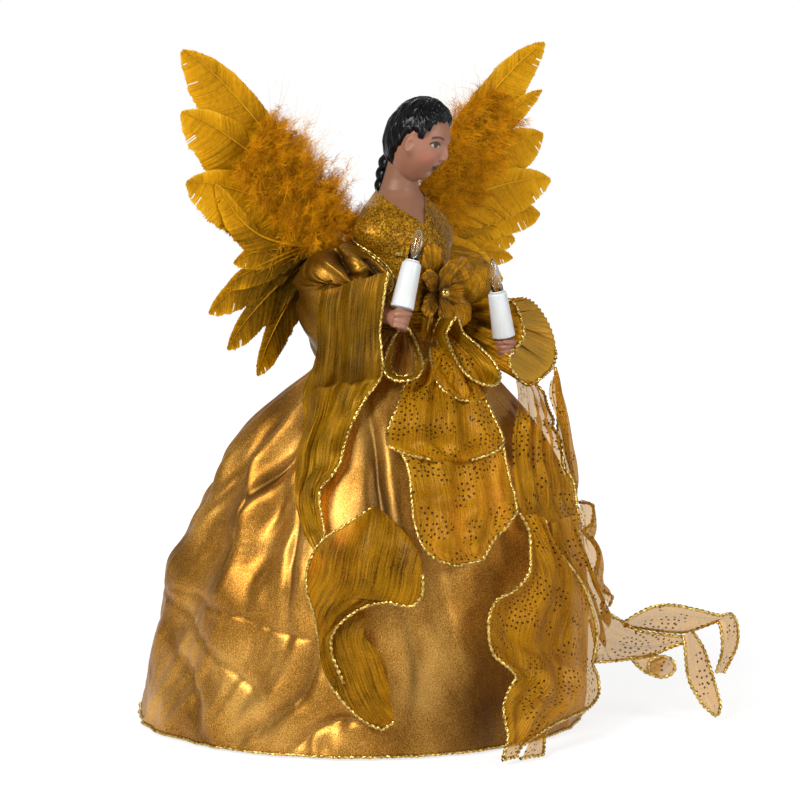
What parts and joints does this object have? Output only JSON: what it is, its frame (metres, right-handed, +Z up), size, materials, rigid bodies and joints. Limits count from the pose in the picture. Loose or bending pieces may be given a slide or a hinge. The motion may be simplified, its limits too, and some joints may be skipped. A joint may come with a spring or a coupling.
{
  "type": "angel tree topper",
  "caption": "Angel tree topper: a doll in a satin skirt over a card cone, with feather wings, sheer drapes and candle lamps whose bulbs pull out of their sockets.",
  "frame": {"origin": "on the resting plane, on the axis of the cone that slips over the tree's top shoot", "axes": "+Z up, the angel faces -Y, its own left is +X"},
  "size_m": [0.2673, 0.272, 0.3566],
  "materials": {
    "satin": "satin weave with a soft sheen",
    "gold_braid": "twisted metallic thread",
    "gold_bead": "metallised gold",
    "skin": "matte painted",
    "hair": "glossy moulded",
    "candle": "satin",
    "bulb_base": "smooth",
    "bulb_glass": "clear",
    "filament": "drawn wire",
    "wire": "drawn wire",
    "lead": "insulated",
    "card": "stiff board",
    "moulding": "moulded",
    "body": "moulded",
    "padding": "padded",
    "crinkle": "crinkled sheer ribbon",
    "organza": "sheer with dark glitter dots",
    "glitter": "woven with glitter",
    "feather": "dyed feather",
    "down": "dyed marabou down"
  },
  "bodies": {
    "angel": {"head": "skin", "hair": "hair", "right_hand": "skin", "right_candle": "candle", "left_hand": "skin", "left_candle": "candle", "skirt_form": "card", "tree_socket": "moulding", "skirt": "satin", "skirt_hem_braid": "gold_braid", "torso_core": "body", "braid": "hair", "arm_wire": "wire", "lead_splice": "moulding", "right_lamp_lead": "lead", "right_arm": "padding", "right_sleeve_puff": "satin", "left_lamp_lead": "lead", "left_arm": "padding", "left_sleeve_puff": "satin", "right_sleeve_drape": "crinkle", "right_sleeve_flounce": "crinkle", "front_drape": "organza", "front_drape_tail": "organza", "left_sleeve_drape": "organza", "trailing_ribbon": "organza", "side_drape": "organza", "left_bodice": "glitter", "right_bodice": "glitter", "waist_sash": "crinkle", "waist_flower": "crinkle", "flower_ball": "gold_bead", "chest_bead": "gold_bead", "right_armhole_braid": "gold_braid", "left_armhole_braid": "gold_braid", "right_ribbon_loop": "crinkle", "left_ribbon_loop": "crinkle", "wing_wire": "wire", "right_wing_feather_1": "feather", "right_wing_feather_2": "feather", "right_wing_feather_3": "feather", "right_wing_feather_4": "feather", "right_wing_feather_5": "feather", "right_wing_feather_6": "feather", "right_wing_card": "card", "right_wing_marabou": "down", "left_wing_feather_1": "feather", "left_wing_feather_2": "feather", "left_wing_feather_3": "feather", "left_wing_feather_4": "feather", "left_wing_feather_5": "feather", "left_wing_feather_6": "feather", "left_wing_card": "card", "left_wing_marabou": "down"},
    "right_bulb": {"right_bulb_base": "bulb_base", "right_bulb_glass": "bulb_glass", "right_filament": "filament"},
    "left_bulb": {"left_bulb_base": "bulb_base", "left_bulb_glass": "bulb_glass", "left_filament": "filament"}
  },
  "joints": [
    {"name": "right_bulb_pull", "type": "slide", "parent": "angel", "child": "right_bulb", "axis": [0.309, 0, 0.9511], "range_m": [0, 0.02]},
    {"name": "left_bulb_pull", "type": "slide", "parent": "angel", "child": "left_bulb", "axis": [-0.225, 0, 0.9744], "range_m": [0, 0.02]}
  ]
}
